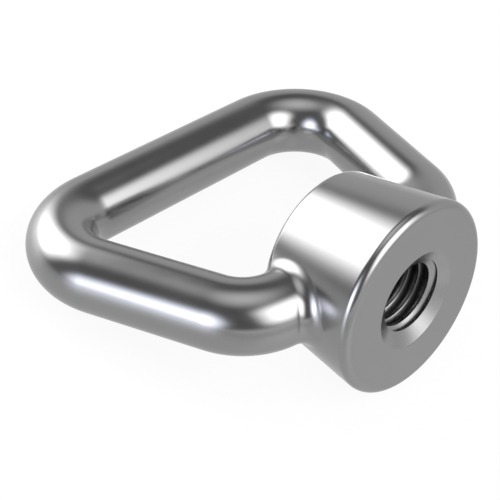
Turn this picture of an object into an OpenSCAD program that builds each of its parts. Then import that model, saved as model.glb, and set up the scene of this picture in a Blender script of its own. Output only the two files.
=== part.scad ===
// Bow nut: a threaded round boss with an eye of round bar swept out of both its sides.
// It is one forged piece. It is drawn standing on its bearing face, with the thread along Z
// and the bow in the XZ plane, and is then laid down the way it comes to rest.

/* [Boss] */
// diameter of the boss at its bearing face
face_d = 25; // [22:0.5:30]
// diameter of the boss at its back face
back_d = 21; // [19:0.5:24]
// height of the boss along the thread
boss_h = 14.5; // [13:0.5:18]
// rounding of the rim round the bearing face
face_round = 1; // [0.5:0.1:1.5]
// rounding of the rim round the back face
back_round = 0.9; // [0.5:0.1:1.2]

/* [Thread] */
// nominal diameter of the thread
thread_d = 10; // [8:1:12]
// pitch of the thread
thread_pitch = 1.5; // [1.25:0.25:1.75]
// diameter of the countersink where it meets the bearing face or the back face
countersink_d = 12.5; // [12.5:0.25:15]
// full angle of the countersink, in degrees
countersink_angle = 120; // [90:5:120]

/* [Bow] */
// diameter of the bar
bar_d = 9; // [7:0.25:10]
// height of the middle of the far bar over the bearing face
far_bar_h = 41.65; // [38:0.5:50]
// width between the two points where the lines of the arms and of the far bar cross
corner_w = 54.3; // [50:0.5:60]
// splay of each arm from the thread axis, in degrees
arm_splay = 19; // [15:0.5:22]
// bend radius of the bar's middle line at the far corners
far_bend_r = 9; // [7.5:0.25:10]
// bend radius of the bar's middle line where an arm turns into the boss
neck_bend_r = 7.2; // [6:0.1:8]

// how far the straights lap into the bends, and the step in radius that keeps the lap inside them
lap = 0.1; // [0.05:0.05:0.2]
lap_step = 0.005; // [0.004:0.001:0.01]

/* [Root fillets] */
// radius of the fillet that rolls between an arm and the boss
root_fillet_r = 2; // [1:0.1:2.5]
// how far the fillet's edges sink into the bar and the boss
root_sink = 0.04; // [0.02:0.01:0.1]
// angle from the crown of the arm at which the fillet starts, in degrees
root_start = 12; // [8:1:20]
// sections round the arm
root_sections = 48; // [24:4:60]
// steps across the fillet
root_steps = 6; // [4:1:10]

/* [Hidden] */
$fn = 96;
steel = [0.62, 0.62, 0.64];
right_angle = 90;
half_turn = 180;
full_turn = 360;
bar_r = bar_d / 2;
face_r = face_d / 2;
back_r = back_d / 2;
// lean of the boss's side, and the middles of the two rim roundings
boss_lean = atan((face_r - back_r) / boss_h);
face_round_x = face_r - face_round * tan(boss_lean) - face_round / cos(boss_lean);
back_round_z = boss_h - back_round;
back_round_x = face_r - back_round_z * tan(boss_lean) - back_round / cos(boss_lean);
// the bore is what a tapping drill leaves
bore_r = (thread_d - thread_pitch) / 2;
countersink_r = countersink_d / 2;
countersink_depth = (countersink_r - bore_r) / tan(countersink_angle / 2);
cut_clear = 1;
// the crown of each arm is flush with the back face
arm_h = boss_h - bar_r;
corner_x = corner_w / 2;
neck_x = corner_x - (far_bar_h - arm_h) * tan(arm_splay);
neck_turn = right_angle - arm_splay;
far_turn = right_angle + arm_splay;
neck_tangent = neck_bend_r * tan(neck_turn / 2);
far_tangent = far_bend_r * tan(far_turn / 2);
stub_end_x = neck_x - neck_tangent;
far_straight_x = corner_x - far_tangent;
arm_full_l = (far_bar_h - arm_h) / cos(arm_splay);
arm_l = arm_full_l - neck_tangent - far_tangent;
arm_start_x = neck_x + neck_tangent * sin(arm_splay);
arm_start_z = arm_h + neck_tangent * cos(arm_splay);
stub_start_x = (bore_r + back_r) / 2;
// middle line of the arm, at a run from the end of its stub: straight before it, bent after
function bend_angle(s) = max(0, s) / neck_bend_r * half_turn / PI;
function line_x(s) = stub_end_x + min(0, s) + neck_bend_r * sin(bend_angle(s));
function line_z(s) = arm_h + neck_bend_r * (1 - cos(bend_angle(s)));
// directions square to that line, at an angle round the arm from its crown
function off_arm(a, s) = [-cos(a) * sin(bend_angle(s)), sin(a), cos(a) * cos(bend_angle(s))];
// middle of a ball that rolls against the bar there
function ball(a, s) = [line_x(s), 0, line_z(s)] + (bar_r + root_fillet_r) * off_arm(a, s);
// how far that ball's middle is from the boss: from its side, or from its back rim
function out(p) = norm([p.x, p.y]);
function over_rim(p) = (p.z - back_round_z) * cos(boss_lean) > (out(p) - back_round_x) * sin(boss_lean);
function gap(p) = over_rim(p)
    ? norm([out(p) - back_round_x, p.z - back_round_z]) - back_round
    : (out(p) - face_r) * cos(boss_lean) + p.z * sin(boss_lean);
// run at which the ball touches both, found by halving
function touch(a, low, high, steps) = steps == 0 ? (low + high) / 2
    : gap(ball(a, (low + high) / 2)) > root_fillet_r
        ? touch(a, low, (low + high) / 2, steps - 1)
        : touch(a, (low + high) / 2, high, steps - 1);
function unit(v) = v / norm(v);
function outward(p) = unit([p.x, p.y, 0]);
// direction from the ball's middle to the boss
function to_boss(p) = over_rim(p)
    ? unit(back_round_x * outward(p) + [0, 0, back_round_z] - p)
    : -cos(boss_lean) * outward(p) - [0, 0, sin(boss_lean)];
// direction between two others, at a share of the swing from one to the other
function between(u, v, share) = let (swing = acos(u * v))
    (sin((1 - share) * swing) * u + sin(share * swing) * v) / sin(swing);
core_x = stub_start_x;
core_r = bar_r / 2;
// one section of the fillet: sunk edge in the bar, the hollow, sunk edge in the boss, core
function root_section(a) = let (
        run = touch(a, -back_r / 2, bar_d, 40),
        p = ball(a, run),
        bar_way = -off_arm(a, run),
        boss_way = to_boss(p))
    concat(
        [p + (root_fillet_r + root_sink) * bar_way],
        [for (k = [1:root_steps - 1]) p + root_fillet_r * between(bar_way, boss_way, k / root_steps)],
        [p + (root_fillet_r + root_sink) * boss_way],
        [[core_x, core_r * sin(a), arm_h + core_r * cos(a)]]);
section_n = root_steps + 2;
section_step = (full_turn - 2 * root_start) / root_sections;
// how the part lies: on the back rim of the boss and on the far bar
lie_lever = norm([back_round_x, far_bar_h - back_round_z]);
lie_tilt = acos((bar_r - back_round) / lie_lever) - atan2(far_bar_h - back_round_z, back_round_x);
mouth_z = bar_r + far_bar_h * sin(lie_tilt);
reach_far = far_bar_h * cos(lie_tilt) + bar_r;
reach_near = face_round * cos(lie_tilt) - face_round_x * sin(lie_tilt) - face_round;
mouth_y = -(reach_far + reach_near) / 2;

// boss: a tapered round body with both its rims rounded
module boss() {
    rotate_extrude()
        intersection() {
            union() {
                polygon([
                    [0, 0],
                    [face_round_x, 0],
                    [face_round_x, face_round],
                    [face_round_x + face_round * cos(boss_lean), face_round + face_round * sin(boss_lean)],
                    [back_round_x + back_round * cos(boss_lean), back_round_z + back_round * sin(boss_lean)],
                    [back_round_x, back_round_z],
                    [back_round_x, boss_h],
                    [0, boss_h]]);
                translate([face_round_x, face_round])
                    circle(r = face_round);
                translate([back_round_x, back_round_z])
                    circle(r = back_round);
            }
            square([face_d, boss_h]);
        }
}

// hole: the bore for the thread, countersunk at both ends
module threaded_hole() {
    translate([0, 0, -cut_clear])
        cylinder(r = bore_r, h = boss_h + 2 * cut_clear);
    for (end = [0, 1])
        translate([0, 0, end * boss_h])
            mirror([0, 0, end])
                countersink();
}

// countersink: drawn past the face, so that it cuts cleanly
module countersink() {
    extra = cut_clear * tan(countersink_angle / 2);
    translate([0, 0, -cut_clear])
        cylinder(
            r1 = countersink_r + extra,
            r2 = bore_r,
            h = countersink_depth + cut_clear);
}

// one bend of the bar, turning in the XZ plane from the X axis
module bend(bend_r, turn) {
    rotate([right_angle, 0, 0])
        rotate_extrude(angle = turn)
            translate([bend_r, 0])
                circle(r = bar_r);
}

// one straight of the bar along X, lapping into the bends at its ends
module straight(length) {
    rotate([0, right_angle, 0])
        translate([0, 0, -lap])
            cylinder(r = bar_r - lap_step, h = length + 2 * lap);
}

// one arm: a stub out of the boss, the neck bend, the splayed straight and the far corner
module arm() {
    translate([stub_start_x, 0, arm_h])
        straight(stub_end_x - stub_start_x);
    translate([stub_end_x, 0, arm_h + neck_bend_r])
        rotate([0, right_angle, 0])
            bend(neck_bend_r, neck_turn);
    translate([arm_start_x, 0, arm_start_z])
        rotate([0, arm_splay - right_angle, 0])
            straight(arm_l);
    translate([far_straight_x, 0, far_bar_h - far_bend_r])
        rotate([0, arm_splay, 0])
            bend(far_bend_r, far_turn);
}

// far bar: the straight between the two far corners
module far_bar() {
    translate([-far_straight_x, 0, far_bar_h])
        straight(2 * far_straight_x);
}

// root fillet: the hollow that blends one arm into the side and the back rim of the boss
module root_fillet() {
    points = [for (i = [0:root_sections]) each root_section(root_start + i * section_step)];
    last = root_sections * section_n;
    walls = [
        for (i = [0:root_sections - 1])
            for (k = [0:section_n - 1])
                let (
                    a = i * section_n + k,
                    b = i * section_n + (k + 1) % section_n)
                each [[a, b, b + section_n], [a, b + section_n, a + section_n]]];
    start_cap = [for (k = [1:section_n - 2]) [section_n - 1, k, k - 1]];
    end_cap = [for (k = [1:section_n - 2]) [last + section_n - 1, last + k - 1, last + k]];
    polyhedron(points = points, faces = concat(walls, start_cap, end_cap));
}

// the nut standing on its bearing face
module standing_nut() {
    difference() {
        union() {
            boss();
            far_bar();
            for (side = [0, 1])
                mirror([side, 0, 0]) {
                    arm();
                    root_fillet();
                }
        }
        threaded_hole();
    }
}

// the nut lying on the back rim of its boss and on its far bar
module bow_nut() {
    color(steel)
        translate([0, mouth_y, mouth_z])
            rotate([-right_angle - lie_tilt, 0, 0])
                standing_nut();
}

bow_nut();
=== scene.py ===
"""Looks of the bow nut: a polished stainless forging with a cut M10 thread, on a white studio floor."""

import math

import bmesh
import bpy
import numpy as np
from mathutils import Matrix, Vector


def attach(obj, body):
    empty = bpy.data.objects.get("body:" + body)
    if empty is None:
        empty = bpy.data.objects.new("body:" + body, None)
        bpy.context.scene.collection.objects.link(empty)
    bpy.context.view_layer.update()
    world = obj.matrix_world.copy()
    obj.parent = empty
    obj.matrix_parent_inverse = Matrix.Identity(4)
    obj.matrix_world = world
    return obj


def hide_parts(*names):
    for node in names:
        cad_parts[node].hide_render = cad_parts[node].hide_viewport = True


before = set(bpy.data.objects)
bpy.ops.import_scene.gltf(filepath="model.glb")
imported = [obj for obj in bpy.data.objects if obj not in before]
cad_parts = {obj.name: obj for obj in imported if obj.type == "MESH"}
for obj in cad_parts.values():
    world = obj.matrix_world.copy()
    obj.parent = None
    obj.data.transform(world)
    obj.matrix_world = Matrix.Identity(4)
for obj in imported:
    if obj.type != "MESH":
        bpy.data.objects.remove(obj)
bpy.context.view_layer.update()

MM = 0.001
RIGHT_ANGLE = math.pi / 2
FULL_TURN = 2 * math.pi

# Sizes of the nut in millimetres, as part.scad has them. The standing frame has X across the bow, Z along
# the thread from the bearing face, and Y square to the bow.
FACE_R = 12.5
BACK_R = 10.5
BOSS_H = 14.5
FACE_ROUND = 1.0
BACK_ROUND = 0.9
BAR_R = 4.5
FAR_BAR_H = 41.65
CORNER_X = 27.15
ARM_SPLAY = math.radians(19)
FAR_BEND_R = 9.0
NECK_BEND_R = 7.2
ROOT_R = 2.0
COUNTERSINK_R = 6.25
COUNTERSINK_SLOPE = math.tan(math.radians(60))

# The thread, an M10 x 1.5. Its crests have the radius of the plain bore in part.scad. The start is how far
# along the nut the middle of a crest is, on the X axis.
PITCH = 1.5
THREAD_R = 5.0
CREST_R = THREAD_R - PITCH / 2
CREST_W = PITCH / 4
FLANK_ANGLE = math.radians(30)
CREST_ROUND = 0.04
GROOVE_ROUND = 0.012
THREAD_START = 0.25

# Steps of the meshes: round the bar, the boss and the thread, along each stretch of an arm, across a root
# fillet, out from it over the boss's side, over the rim of the bearing face, and across a flat ring. The
# spread brings the steps on the boss's side closer together near the fillet.
BAR_STEPS = 240
BOSS_STEPS = 720
THREAD_STEPS = 240
NECK_STEPS = 32
ARM_STEPS = 8
CORNER_STEPS = 48
FAR_BAR_STEPS = 6
FILLET_STEPS = 10
SIDE_STEPS = 22
SIDE_SPREAD = 1.3
RIM_STEPS = 14
FLAT_STEPS = 2

# The last turn of the thread that a detail is for, and then its steps along a flank and round a bend. The
# lands are the flat crests and the flat bottoms of the grooves.
THREAD_DETAIL = ((1, 14, 4), (3, 6, 4), (math.inf, 2, 2))
LAND_STEPS = 3

# Corners of a face closer than TWIN, in millimetres, or corners of the thread closer than WELD, in metres,
# are made one. TINY is an area or an angle that counts as none. HALVINGS is how often root_run halves its
# range. Edges of the thread sharper than SHARP_ANGLE stay crisp.
TWIN = 1e-6
WELD = 1e-7
TINY = 1e-9
HALVINGS = 60
SHARP_ANGLE = math.radians(40)

# The boss's side leans in, and its two rims are roundings whose middles are given here.
LEAN = math.atan((FACE_R - BACK_R) / BOSS_H)
LEAN_COS = math.cos(LEAN)
LEAN_SIN = math.sin(LEAN)
FACE_ROUND_X = FACE_R - FACE_ROUND * math.tan(LEAN) - FACE_ROUND / LEAN_COS
BACK_ROUND_Z = BOSS_H - BACK_ROUND
BACK_ROUND_X = FACE_R - BACK_ROUND_Z * math.tan(LEAN) - BACK_ROUND / LEAN_COS

# Runs up the boss's outline, from the bearing face over both roundings to the back face. The frame that
# bounds a side patch ends FRAME_OVER above the lower rounding. Half the steps of its uprights cover the
# back rounding, down to FRAME_UNDER below it.
FRAME_OVER = 1.0
FRAME_UNDER = 0.05
FACE_RUN = FACE_ROUND * (RIGHT_ANGLE + LEAN)
SIDE_RUN = math.hypot(
    FACE_ROUND_X + (FACE_ROUND - BACK_ROUND) * LEAN_COS - BACK_ROUND_X,
    BACK_ROUND_Z - FACE_ROUND + (BACK_ROUND - FACE_ROUND) * LEAN_SIN,
)
BACK_RUN = BACK_ROUND * (RIGHT_ANGLE - LEAN)
WHOLE_RUN = FACE_RUN + SIDE_RUN + BACK_RUN
FRAME_LOW_RUN = FACE_RUN + FRAME_OVER
FRAME_RIM_RUN = FACE_RUN + SIDE_RUN - FRAME_UNDER

# Runs along the middle line of an arm, from the end of its stub to the middle of the far bar.
ARM_H = BOSS_H - BAR_R
NECK_X = CORNER_X - (FAR_BAR_H - ARM_H) * math.tan(ARM_SPLAY)
NECK_TURN = RIGHT_ANGLE - ARM_SPLAY
FAR_TURN = RIGHT_ANGLE + ARM_SPLAY
NECK_TANGENT = NECK_BEND_R * math.tan(NECK_TURN / 2)
FAR_TANGENT = FAR_BEND_R * math.tan(FAR_TURN / 2)
STUB_X = NECK_X - NECK_TANGENT
NECK_RUN = NECK_BEND_R * NECK_TURN
ARM_RUN = NECK_RUN + (FAR_BAR_H - ARM_H) / math.cos(ARM_SPLAY) - NECK_TANGENT - FAR_TANGENT
CORNER_RUN = ARM_RUN + FAR_BEND_R * FAR_TURN
MIDDLE_RUN = CORNER_RUN + CORNER_X - FAR_TANGENT

# The nut lies on the back rim of its boss and on its far bar.
LEVER = math.hypot(BACK_ROUND_X, FAR_BAR_H - BACK_ROUND_Z)
TILT = math.acos((BAR_R - BACK_ROUND) / LEVER) - math.atan2(FAR_BAR_H - BACK_ROUND_Z, BACK_ROUND_X)
TILT_COS = math.cos(TILT)
TILT_SIN = math.sin(TILT)
REACH_FAR = FAR_BAR_H * TILT_COS + BAR_R
REACH_NEAR = FACE_ROUND * TILT_COS - FACE_ROUND_X * TILT_SIN - FACE_ROUND
MOUTH = np.array([0, -(REACH_FAR + REACH_NEAR) / 2, BAR_R + FAR_BAR_H * TILT_SIN])


def lay_direction(way):
    """Rows of directions in the standing frame, turned to the frame of the row."""
    x, y, z = way[..., 0], way[..., 1], way[..., 2]
    return np.stack([x, z * TILT_COS - y * TILT_SIN, -z * TILT_SIN - y * TILT_COS], -1)


def lay_down(points):
    """Rows of points in the standing frame, in millimetres, laid down in the row's frame, in metres."""
    return (lay_direction(points) + MOUTH) * MM


def middle_line(run):
    """Middle line of one arm at a run from its stub's end: x, z and how far it has turned."""
    run = np.asarray(run, float)
    neck = np.clip(run, 0, NECK_RUN) / NECK_BEND_R
    corner = np.clip(run - ARM_RUN, 0, CORNER_RUN - ARM_RUN) / FAR_BEND_R
    arm = np.clip(run - NECK_RUN, 0, ARM_RUN - NECK_RUN)
    far_bar = np.clip(run - CORNER_RUN, 0, None)
    x = STUB_X + np.minimum(run, 0) + NECK_BEND_R * np.sin(neck) + arm * math.cos(NECK_TURN)
    z = ARM_H + NECK_BEND_R * (1 - np.cos(neck)) + arm * math.sin(NECK_TURN)
    heading = NECK_TURN + corner
    x = x + FAR_BEND_R * (np.sin(heading) - math.sin(NECK_TURN)) - far_bar
    z = z + FAR_BEND_R * (math.cos(NECK_TURN) - np.cos(heading))
    return x, z, neck + corner


def off_middle(turn, run):
    """Direction square to the middle line, at an angle round the bar from its crown."""
    turned = middle_line(run)[2]
    return np.stack([-np.cos(turn) * np.sin(turned), np.sin(turn), np.cos(turn) * np.cos(turned)], -1)


def round_middle(turn, run, radius):
    """Point at a radius from the middle line, at an angle round the bar and a run along it."""
    x, z, _ = middle_line(run)
    return np.stack([x, 0 * x, z], -1) + radius * off_middle(turn, run)


def boss_gap(points):
    """Distance of points from the boss's side or its back rim, and which points face the rim."""
    out = np.hypot(points[..., 0], points[..., 1])
    z = points[..., 2]
    over_rim = (z - BACK_ROUND_Z) * LEAN_COS > (out - BACK_ROUND_X) * LEAN_SIN
    to_rim = np.hypot(out - BACK_ROUND_X, z - BACK_ROUND_Z) - BACK_ROUND
    to_side = (out - FACE_R) * LEAN_COS + z * LEAN_SIN
    return np.where(over_rim, to_rim, to_side), over_rim


def root_run(turn):
    """Run at which a ball of the fillet's radius touches both the bar and the boss, found by halving."""
    low = np.full_like(turn, BACK_ROUND_X - STUB_X)
    high = np.full_like(turn, 2 * BAR_R)
    for _ in range(HALVINGS):
        half = (low + high) / 2
        gap, _ = boss_gap(round_middle(turn, half, BAR_R + ROOT_R))
        high = np.where(gap > ROOT_R, half, high)
        low = np.where(gap > ROOT_R, low, half)
    return (low + high) / 2


def boss_way(points):
    """Direction from points to the nearest point of the boss's side or back rim."""
    _, over_rim = boss_gap(points)
    out = np.hypot(points[..., 0], points[..., 1])
    level = np.stack([points[..., 0] / out, points[..., 1] / out, 0 * out], -1)
    to_rim = BACK_ROUND_X * level + np.array([0, 0, BACK_ROUND_Z]) - points
    to_rim /= np.linalg.norm(to_rim, axis=-1, keepdims=True)
    to_side = -LEAN_COS * level - np.array([0, 0, LEAN_SIN])
    return np.where(over_rim[..., None], to_rim, to_side)


def grid(points, normals):
    """Rows of points, each row closed round, as points, normals and four-cornered faces."""
    rows, cols = points.shape[:2]
    start = np.arange(rows - 1)[:, None] * cols
    here = np.arange(cols)[None, :]
    after = (here + 1) % cols
    faces = np.stack([start + here, start + after, start + cols + after, start + cols + here], -1)
    return points.reshape(-1, 3), normals.reshape(-1, 3), faces.reshape(-1, 4)


def arm_patch(turns):
    """Skin of one arm, from the edge of its root fillet to the middle of the far bar."""
    start = root_run(turns)
    rows = [start + (NECK_RUN - start) * share for share in np.linspace(0, 1, NECK_STEPS + 1)]
    stretches = (
        (NECK_RUN, ARM_RUN, ARM_STEPS),
        (ARM_RUN, CORNER_RUN, CORNER_STEPS),
        (CORNER_RUN, MIDDLE_RUN, FAR_BAR_STEPS),
    )
    for low, high, steps in stretches:
        rows += [np.full_like(turns, run) for run in np.linspace(low, high, steps + 1)[1:]]
    runs = np.array(rows)
    all_turns = np.broadcast_to(turns, runs.shape)
    return grid(round_middle(all_turns, runs, BAR_R), off_middle(all_turns, runs))


def root_patch(turns):
    """The fillet that rolls between an arm and the boss, and its edge on the boss."""
    run = root_run(turns)
    ball = round_middle(turns, run, BAR_R + ROOT_R)
    to_bar = -off_middle(turns, run)
    to_boss = boss_way(ball)
    swing = np.maximum(np.arccos(np.clip((to_bar * to_boss).sum(-1), -1, 1)), TINY)[:, None]
    share = np.linspace(0, 1, FILLET_STEPS + 1)[:, None, None]
    ways = (np.sin((1 - share) * swing) * to_bar + np.sin(share * swing) * to_boss) / np.sin(swing)
    points = ball + ROOT_R * ways
    return grid(points, -ways), points[-1]


def boss_at(angle, run):
    """Point and normal of the boss's side at an angle round it and a run up its outline."""
    run = np.asarray(run, float)
    on_face = run < FACE_RUN
    on_back = run > FACE_RUN + SIDE_RUN
    over_back = LEAN + np.maximum(run - FACE_RUN - SIDE_RUN, 0) / BACK_ROUND
    rise = np.where(on_face, run / FACE_ROUND - RIGHT_ANGLE, over_back)
    up = np.clip(run - FACE_RUN, 0, SIDE_RUN)
    r = FACE_ROUND_X + np.where(on_face, FACE_ROUND * np.cos(rise), FACE_ROUND * LEAN_COS - up * LEAN_SIN)
    z = FACE_ROUND + np.where(on_face, FACE_ROUND * np.sin(rise), FACE_ROUND * LEAN_SIN + up * LEAN_COS)
    r = np.where(on_back, BACK_ROUND_X + BACK_ROUND * np.cos(rise), r)
    z = np.where(on_back, BACK_ROUND_Z + BACK_ROUND * np.sin(rise), z)
    point = np.stack([r * np.cos(angle), r * np.sin(angle), z], -1)
    normal = np.stack([np.cos(rise) * np.cos(angle), np.cos(rise) * np.sin(angle), np.sin(rise)], -1)
    return point, normal


def boss_run(points):
    """Run up the boss's outline at points on its side or back rim."""
    _, over_rim = boss_gap(points)
    out = np.hypot(points[:, 0], points[:, 1])
    z = points[:, 2]
    rim = FACE_RUN + SIDE_RUN + BACK_ROUND * (np.arctan2(z - BACK_ROUND_Z, out - BACK_ROUND_X) - LEAN)
    side = FACE_RUN + (z - FACE_ROUND - FACE_ROUND * LEAN_SIN) / LEAN_COS
    return np.where(over_rim, rim, side)


def side_patch(edge):
    """Half of the boss's side round the root of one arm, from the fillet's edge out to a frame."""
    angle = np.arctan2(edge[:, 1], edge[:, 0])
    run = boss_run(edge)
    top = BAR_STEPS // 6
    half = top // 2
    over = np.linspace(0, RIGHT_ANGLE, top + 1)
    under = np.linspace(RIGHT_ANGLE, -RIGHT_ANGLE, BAR_STEPS - 4 * top + 1)
    right = np.full(top, RIGHT_ANGLE)
    frame_angle = np.concatenate([over, right, under[1:], -right, -over[::-1][1:-1]])
    down = np.concatenate([
        np.linspace(WHOLE_RUN, FRAME_RIM_RUN, half, endpoint=False),
        np.linspace(FRAME_RIM_RUN, FRAME_LOW_RUN, top - half + 1),
    ])
    crown = np.full(top + 1, WHOLE_RUN)
    low = np.full(len(under) - 1, FRAME_LOW_RUN)
    frame_run = np.concatenate([crown, down[1:], low, down[::-1][1:], crown[2:]])
    share = np.linspace(0, 1, SIDE_STEPS + 1)[:, None] ** SIDE_SPREAD
    return grid(*boss_at(angle + (frame_angle - angle) * share, run + (frame_run - run) * share))


def rim_patch(ring):
    """The rounding round the bearing face, up to the frames of the two side patches."""
    run = np.append(np.linspace(0, FACE_RUN, RIM_STEPS + 1), FRAME_LOW_RUN)[:, None] + 0 * ring
    return grid(*boss_at(ring + 0 * run, run))


def flat_patch(ring, z, inner_r, outer_r, way):
    """Flat ring that faces up or down the nut."""
    r = np.linspace(inner_r, outer_r, FLAT_STEPS + 1)[:, None] * np.ones(len(ring))
    points = np.stack([r * np.cos(ring), r * np.sin(ring), np.full_like(r, z)], -1)
    normals = np.zeros_like(points)
    normals[..., 2] = way
    return grid(points, normals)


def outward_faces(points, normals, faces):
    """Turns round the faces that look the wrong way, and drops those with no area."""
    a, b, c, d = (points[faces[:, corner]] for corner in (0, 1, 2, -1))
    facing = np.cross(c - a, d - b)
    has_area = np.linalg.norm(facing, axis=1) > TINY
    faces = faces[has_area]
    wrong = (facing[has_area] * normals[faces].mean(1)).sum(-1) < 0
    faces[wrong] = faces[wrong][:, ::-1]
    return faces


def without_twins(points, faces):
    """Faces as lists, without corners that lie on the next corner, and without faces left with only two."""
    corners = points[faces]
    twins = np.linalg.norm(corners - np.roll(corners, -1, axis=1), axis=2) < TWIN
    kept = [
        [corner for corner, twin in zip(face, row) if not twin]
        for face, row in zip(faces.tolist(), twins.tolist())
    ]
    return [face for face in kept if len(face) > 2]


def new_object(name, points, faces):
    mesh = bpy.data.meshes.new(name)
    mesh.from_pydata(points, [], faces)
    piece = bpy.data.objects.new(name, mesh)
    bpy.context.scene.collection.objects.link(piece)
    return piece


def body():
    """Everything of the nut but its hole, as patches with exact normals."""
    turns = np.linspace(0, FULL_TURN, BAR_STEPS, endpoint=False)
    ring = np.linspace(0, FULL_TURN, BOSS_STEPS, endpoint=False)
    patches = []
    for side in (1, -1):
        mirror = np.array([side, 1, 1])
        root, edge = root_patch(turns)
        for points, normals, faces in (arm_patch(turns), root, side_patch(edge)):
            patches.append((points * mirror, normals * mirror, faces))
    patches.append(rim_patch(ring))
    patches.append(flat_patch(ring, 0, COUNTERSINK_R, FACE_ROUND_X, -1))
    patches.append(flat_patch(ring, BOSS_H, COUNTERSINK_R, BACK_ROUND_X, 1))
    first = np.cumsum([0] + [len(points) for points, _, _ in patches])
    faces = np.concatenate([outward_faces(*patch) + start for patch, start in zip(patches, first)])
    points = np.concatenate([patch[0] for patch in patches])
    normals = np.concatenate([patch[1] for patch in patches])
    piece = new_object("nut_body", lay_down(points).tolist(), without_twins(points, faces))
    mesh = piece.data
    mesh.polygons.foreach_set("use_smooth", [True] * len(mesh.polygons))
    mesh.normals_split_custom_set_from_vertices(lay_direction(normals).tolist())
    mesh.update()
    return piece


def thread_outline(flank_steps, bend_steps):
    """One turn of the thread's outline: height along the nut and radius, with every bend rounded."""
    flank = (THREAD_R - CREST_R) * math.tan(FLANK_ANGLE)
    groove = PITCH - CREST_W - 2 * flank
    z = np.cumsum([-CREST_W / 2, CREST_W, flank, groove])
    corners = np.stack([z, [CREST_R, CREST_R, THREAD_R, THREAD_R]], -1)
    next_turn = np.array([PITCH, 0])
    bends = []
    for i, radius in enumerate((CREST_ROUND, CREST_ROUND, GROOVE_ROUND, GROOVE_ROUND)):
        corner = corners[i]
        before = corners[i - 1] - next_turn * (i == 0) - corner
        after = corners[(i + 1) % 4] + next_turn * (i == 3) - corner
        before /= np.linalg.norm(before)
        after /= np.linalg.norm(after)
        half = math.acos(float(before @ after)) / 2
        centre = corner + (before + after) / np.linalg.norm(before + after) * radius / math.sin(half)
        start, end = (corner + way * radius / math.tan(half) - centre for way in (before, after))
        first = math.atan2(start[1], start[0])
        swing = (math.atan2(end[1], end[0]) - first + math.pi) % FULL_TURN - math.pi
        angle = first + swing * np.linspace(0, 1, bend_steps + 1)
        bends.append(centre + radius * np.stack([np.cos(angle), np.sin(angle)], -1))
    points = []
    for i, steps in enumerate((LAND_STEPS, flank_steps, LAND_STEPS, flank_steps)):
        last = bends[i][-1]
        following = bends[(i + 1) % 4][0] + next_turn * (i == 3)
        share = np.linspace(0, 1, steps + 1)[1:-1, None]
        points += [bends[i], last + (following - last) * share]
    return np.concatenate(points)


def countersink_at(z):
    """Radius of the countersinks at a height along the nut."""
    return COUNTERSINK_R - np.minimum(z, BOSS_H - z) * COUNTERSINK_SLOPE


def move_to_edge(z, r):
    """Where a groove runs out into a countersink, moves the nearest point onto the edge between them."""
    past = r - countersink_at(z)
    i, j = np.nonzero(past[:-1] * past[1:] < 0)
    share = past[i, j] / (past[i, j] - past[i + 1, j])
    edge_z = z[i, j] + (z[i + 1, j] - z[i, j]) * share
    edge_r = r[i, j] + (r[i + 1, j] - r[i, j]) * share
    nearest = np.where(share < 0.5, i, i + 1)
    z[nearest, j] = edge_z
    r[nearest, j] = edge_r
    on_edge = np.zeros(z.shape, bool)
    on_edge[nearest, j] = True
    return on_edge


def thread():
    """The wall of the hole: both countersinks and the thread, as one helical sheet with crisp edges."""
    turns_of_outline = []
    for k in range(-2, int(BOSS_H / PITCH) + 2):
        detail = next(steps for last, *steps in THREAD_DETAIL if k <= last)
        turns_of_outline.append(thread_outline(*detail) + [PITCH * k, 0])
    outline = np.concatenate(turns_of_outline)
    turn = np.linspace(0, FULL_TURN, THREAD_STEPS + 1)
    z = outline[:, :1] + PITCH * turn[None, :] / FULL_TURN + THREAD_START
    r = outline[:, 1:] + 0 * z
    on_edge = move_to_edge(z, r)
    z = np.clip(z, 0, BOSS_H)
    r = np.maximum(r, countersink_at(z))
    points = np.stack([r * np.cos(turn), r * np.sin(turn), z], -1)
    rows, cols = z.shape
    a = np.arange(rows - 1)[:, None] * cols + np.arange(cols - 1)[None, :]
    b = a + 1
    c = a + cols + 1
    d = a + cols
    other_way = (on_edge[1:, :-1] & on_edge[:-1, 1:])[..., None]
    one = np.where(other_way, np.stack([a, b, d], -1), np.stack([a, b, c], -1))
    two = np.where(other_way, np.stack([b, c, d], -1), np.stack([a, c, d], -1))
    faces = np.concatenate([one.reshape(-1, 3), two.reshape(-1, 3)])
    points = points.reshape(-1, 3)
    faces = outward_faces(points, -points * [1, 1, 0], faces)
    piece = new_object("nut_thread", lay_down(points).tolist(), faces.tolist())
    mesh = piece.data
    welded = bmesh.new()
    welded.from_mesh(mesh)
    bmesh.ops.remove_doubles(welded, verts=welded.verts, dist=WELD)
    loose = [vert for vert in welded.verts if not vert.link_faces]
    bmesh.ops.delete(welded, geom=loose, context="VERTS")
    welded.to_mesh(mesh)
    welded.free()
    mesh.polygons.foreach_set("use_smooth", [True] * len(mesh.polygons))
    mesh.set_sharp_from_angle(angle=SHARP_ANGLE)
    mesh.update()
    return piece


def grey(level):
    return (level, level, level)


# The two finishes of the steel. Each has a colour, and a painted reflection colour that takes its place
# where the nut
# is seen mirrored in itself: lighter for the polished steel, a painted highlight, and darker for the tapped
# steel, a painted shade. Then come the roughness at both ends of the clouds in its gloss, and the height of
# its grain in millimetres. EDGE is the tint of both at a grazing angle. NOISE_RANGE is the part of the
# noise that the clouds are spread over.
STEEL = grey(0.26)
# Painted reflection: the polished steel shows this lighter colour where the nut is mirrored in itself.
STEEL_PAINTED_REFLECTION = grey(0.56)
POLISH_ROUGH = (0.19, 0.235)
POLISH_GRAIN = 0.0004
TAPPED = grey(0.27)
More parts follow.
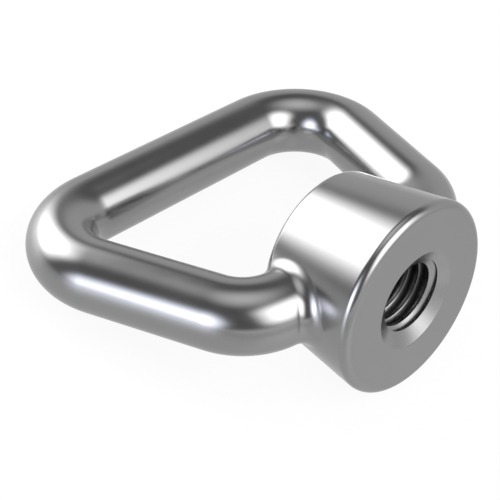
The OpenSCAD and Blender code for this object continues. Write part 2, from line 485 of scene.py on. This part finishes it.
# Painted shade: the tapped steel shows this darker colour where the thread is mirrored in itself, darkening
# its grooves.
TAPPED_PAINTED_SHADE = grey(0.14)
TAPPED_ROUGH = (0.24, 0.3)
TAPPED_GRAIN = 0.0006
EDGE = grey(0.85)
CLOUD_SCALE = 140
CLOUD_DETAIL = 3
CLOUD_TONE = (0.985, 1.015)
GRAIN_SCALE = 1800
GRAIN_DETAIL = 4
NOISE_RANGE = (0.3, 0.7)


def new_material(name):
    mat = bpy.data.materials.new(name)
    mat.use_nodes = True
    nodes = mat.node_tree.nodes
    nodes.clear()
    return mat, nodes, mat.node_tree.links, nodes.new("ShaderNodeOutputMaterial")


def feed(links, socket, value):
    """Links an output to a socket, or sets the socket to a colour or a number."""
    if isinstance(value, bpy.types.NodeSocket):
        links.new(value, socket)
    elif isinstance(value, tuple):
        socket.default_value = (*value, 1)
    else:
        socket.default_value = value


def maths(nodes, links, operation, *values):
    node = nodes.new("ShaderNodeMath")
    node.operation = operation
    for socket, value in zip(node.inputs, values):
        feed(links, socket, value)
    return node.outputs[0]


def blend(nodes, links, share, first, second, kind="MIX"):
    """Colour between two others at a share, or their product."""
    node = nodes.new("ShaderNodeMix")
    node.data_type = "RGBA"
    node.blend_type = kind
    feed(links, node.inputs[0], share)
    colours = [socket for socket in node.inputs if socket.type == "RGBA"]
    feed(links, colours[0], first)
    feed(links, colours[1], second)
    return [socket for socket in node.outputs if socket.type == "RGBA"][0]


def noise(nodes, links, scale, detail):
    """Noise in the part's own coordinates, with a scale in cells a metre."""
    node = nodes.new("ShaderNodeTexNoise")
    node.inputs["Scale"].default_value = scale
    node.inputs["Detail"].default_value = detail
    links.new(nodes.new("ShaderNodeTexCoord").outputs["Object"], node.inputs["Vector"])
    return node.outputs[0]


def spread(nodes, links, value, source, target, ease="LINEAR"):
    """Moves a value from one range to another, and holds it at the ends."""
    node = nodes.new("ShaderNodeMapRange")
    node.interpolation_type = ease
    links.new(value, node.inputs["Value"])
    node.inputs["From Min"].default_value = source[0]
    node.inputs["From Max"].default_value = source[1]
    node.inputs["To Min"].default_value = target[0]
    node.inputs["To Max"].default_value = target[1]
    return node.outputs["Result"]


def steel(name, colour, painted_reflection, rough, grain_h):
    """Stainless steel with faint clouds in its gloss, the fine grain of polishing or cutting, and a painted
    reflection: another colour where the nut is seen mirrored in itself.
    """
    mat, nodes, links, out = new_material(name)
    shader = nodes.new("ShaderNodeBsdfPrincipled")
    shader.inputs["Metallic"].default_value = 1
    shader.inputs["Specular Tint"].default_value = (*EDGE, 1)
    clouds = noise(nodes, links, CLOUD_SCALE, CLOUD_DETAIL)
    links.new(spread(nodes, links, clouds, NOISE_RANGE, rough), shader.inputs["Roughness"])
    # Painted reflection: where a mirror ray meets the nut, the base colour is swapped for the painted one.
    shows_painted_reflection = nodes.new("ShaderNodeLightPath").outputs["Is Glossy Ray"]
    tone_with_painted_reflection = blend(nodes, links, shows_painted_reflection, colour, painted_reflection)
    shade = spread(nodes, links, clouds, NOISE_RANGE, CLOUD_TONE)
    links.new(blend(nodes, links, 1, tone_with_painted_reflection, shade, "MULTIPLY"), shader.inputs["Base Color"])
    grain = nodes.new("ShaderNodeBump")
    grain.inputs["Strength"].default_value = 1
    grain.inputs["Distance"].default_value = grain_h * MM
    links.new(noise(nodes, links, GRAIN_SCALE, GRAIN_DETAIL), grain.inputs["Height"])
    links.new(grain.outputs[0], shader.inputs["Normal"])
    links.new(shader.outputs[0], out.inputs["Surface"])
    return mat


def from_bow(way):
    """Turns a direction given by the bow, with Z square to its plane, into the frame of the row."""
    x, y, z = way
    return Vector((x, y * TILT_COS + z * TILT_SIN, z * TILT_COS - y * TILT_SIN))


# The studio round the nut. The ground and the ceiling end softly between two heights over the bow's plane,
# on a ball of radius 1. A box has the angles of its middle, round the nut and up, and its roll, in degrees.
# Then come half its width and half its height, how softly each ends, all at a distance of 1, and its light.
# AHEAD_MIN keeps the half of the ball that lies behind the nut out of a box.
GROUND = grey(1.22)
GROUND_EDGE = (-0.14, 0.065)
WALL = grey(0.212)
CEILING = grey(3.72)
CEILING_EDGE = (0.825, 1.235)
BOXES = (
    (13.7, -5.2, -1.0, 2.500, 1.020, 0.485, 0.338, grey(0.931)),
    (99.3, 31.6, 6.7, 0.404, 0.372, 0.284, 0.261, grey(6.88)),
    (182.2, 11.1, 47.0, 0.288, 0.271, 0.288, 0.267, (6.3, 6.5, 7.4)),
    (279.3, 30.2, -4.8, 0.469, 0.440, 0.344, 0.267, grey(5.29)),
)
AHEAD_MIN = 0.02


def studio():
    """World: a grey ground, dark walls, a pale ceiling and soft boxes, set square to the bow's plane."""
    world = bpy.data.worlds.new("studio")
    bpy.context.scene.world = world
    world.use_nodes = True
    nodes = world.node_tree.nodes
    links = world.node_tree.links
    nodes.clear()
    out = nodes.new("ShaderNodeOutputWorld")
    sky = nodes.new("ShaderNodeBackground")
    links.new(sky.outputs[0], out.inputs["Surface"])
    looked = nodes.new("ShaderNodeTexCoord").outputs["Generated"]

    def along(way):
        """How far the direction looked in goes along another."""
        node = nodes.new("ShaderNodeVectorMath")
        node.operation = "DOT_PRODUCT"
        links.new(looked, node.inputs[0])
        node.inputs[1].default_value = from_bow(way)
        return node.outputs["Value"]

    def rise(value, low, high):
        return spread(nodes, links, value, (low, high), (0, 1), "SMOOTHSTEP")

    up = along((0, 0, 1))
    colour = blend(nodes, links, rise(up, *GROUND_EDGE), GROUND, WALL)
    colour = blend(nodes, links, rise(up, *CEILING_EDGE), colour, CEILING)
    for around, above, roll, half_w, half_h, soft_w, soft_h, light in BOXES:
        around, above, roll = map(math.radians, (around, above, roll))
        level = math.cos(above)
        middle = Vector((level * math.cos(around), level * math.sin(around), math.sin(above)))
        across = Matrix.Rotation(roll, 3, middle) @ Vector((-math.sin(around), math.cos(around), 0))
        ahead = along(middle)
        distance = maths(nodes, links, "MAXIMUM", ahead, AHEAD_MIN)
        inside = maths(nodes, links, "GREATER_THAN", ahead, AHEAD_MIN)
        for side, half, soft in ((across, half_w, soft_w), (middle.cross(across), half_h, soft_h)):
            off = maths(nodes, links, "DIVIDE", maths(nodes, links, "ABSOLUTE", along(side)), distance)
            within = maths(nodes, links, "SUBTRACT", 1, rise(off, half - soft, half + soft))
            inside = maths(nodes, links, "MULTIPLY", inside, within)
        colour = blend(nodes, links, inside, colour, light)
    links.new(colour, sky.inputs["Color"])
    sky.inputs["Strength"].default_value = 1


# The floor. Its glow is the share of plain white that the camera and mirrors see in it. Its sheen is seen
# only in the nut.
FLOOR_HALF = 4.0
FLOOR_COLOUR = (0.8, 0.8, 0.8, 1)
FLOOR_GLOW = 0.92
FLOOR_SHEEN = 0.7
FLOOR_ROUGH = 0.05
FLOOR_IOR = 1.5
WHITE = (1, 1, 1, 1)


def floor():
    corners = [(x * FLOOR_HALF, y * FLOOR_HALF, 0) for x, y in ((-1, -1), (1, -1), (1, 1), (-1, 1))]
    obj = new_object("floor", corners, [(0, 1, 2, 3)])
    mat, nodes, links, out = new_material("white_floor")
    lit = nodes.new("ShaderNodeBsdfDiffuse")
    lit.inputs["Color"].default_value = FLOOR_COLOUR
    glow = nodes.new("ShaderNodeEmission")
    glow.inputs["Color"].default_value = WHITE
    polish = nodes.new("ShaderNodeBsdfGlossy")
    polish.inputs["Roughness"].default_value = FLOOR_ROUGH
    gloss = nodes.new("ShaderNodeFresnel")
    gloss.inputs["IOR"].default_value = FLOOR_IOR
    path = nodes.new("ShaderNodeLightPath").outputs
    seen = maths(nodes, links, "MAXIMUM", path["Is Camera Ray"], path["Is Glossy Ray"])
    seen = maths(nodes, links, "MAXIMUM", seen, path["Is Transmission Ray"])
    white = maths(nodes, links, "MULTIPLY", seen, FLOOR_GLOW)
    sheen = maths(nodes, links, "MULTIPLY", path["Is Glossy Ray"], FLOOR_SHEEN)
    sheen = maths(nodes, links, "MULTIPLY", gloss.outputs[0], sheen)
    shader = lit
    for share, layer in ((white, glow), (sheen, polish)):
        both = nodes.new("ShaderNodeMixShader")
        links.new(share, both.inputs[0])
        links.new(shader.outputs[0], both.inputs[1])
        links.new(layer.outputs[0], both.inputs[2])
        shader = both
    links.new(shader.outputs[0], out.inputs["Surface"])
    obj.data.materials.append(mat)


# The camera. Its place is in millimetres from the middle of the bearing face, along the bow. The focal
# length and the middle of the view are in pixels of the photograph, which is square.
CAMERA_PLACE = (-93.034, -66.102, 87.045)
CAMERA_AHEAD = (1, 1, -1)
CAMERA_RIGHT = (1, -1, 0)
PHOTO_SIDE = 500
FOCAL_LENGTH = 1230.85
VIEW_MIDDLE_X = 251.165
VIEW_MIDDLE_Y = 248.08
SENSOR_W = 36
NEAREST = 0.01
FURTHEST = 20


def camera():
    """Looks along the bow's space diagonal, from the side of the bearing face."""
    data = bpy.data.cameras.new("camera")
    obj = bpy.data.objects.new("camera", data)
    bpy.context.scene.collection.objects.link(obj)
    ahead = from_bow(CAMERA_AHEAD).normalized()
    right = from_bow(CAMERA_RIGHT).normalized()
    pose = Matrix((right, right.cross(ahead), -ahead)).transposed().to_4x4()
    pose.translation = (from_bow(CAMERA_PLACE) + Vector(MOUTH)) * MM
    obj.matrix_world = pose
    data.sensor_width = SENSOR_W
    data.lens = SENSOR_W * FOCAL_LENGTH / PHOTO_SIDE
    data.shift_x = 0.5 - VIEW_MIDDLE_X / PHOTO_SIDE
    data.shift_y = VIEW_MIDDLE_Y / PHOTO_SIDE - 0.5
    data.clip_start = NEAREST
    data.clip_end = FURTHEST
    bpy.context.scene.camera = obj


bpy.context.scene.view_settings.view_transform = "Standard"
polished = steel("polished_steel", STEEL, STEEL_PAINTED_REFLECTION, POLISH_ROUGH, POLISH_GRAIN)
tapped = steel("tapped_steel", TAPPED, TAPPED_PAINTED_SHADE, TAPPED_ROUGH, TAPPED_GRAIN)
body_obj = body()
thread_obj = thread()
for piece, material in ((body_obj, polished), (thread_obj, tapped)):
    piece.data.materials.append(material)
    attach(piece, "root")
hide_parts("bow_nut")
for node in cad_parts.values():
    for s in node.material_slots:
        s.material = polished
studio()
floor()
camera()
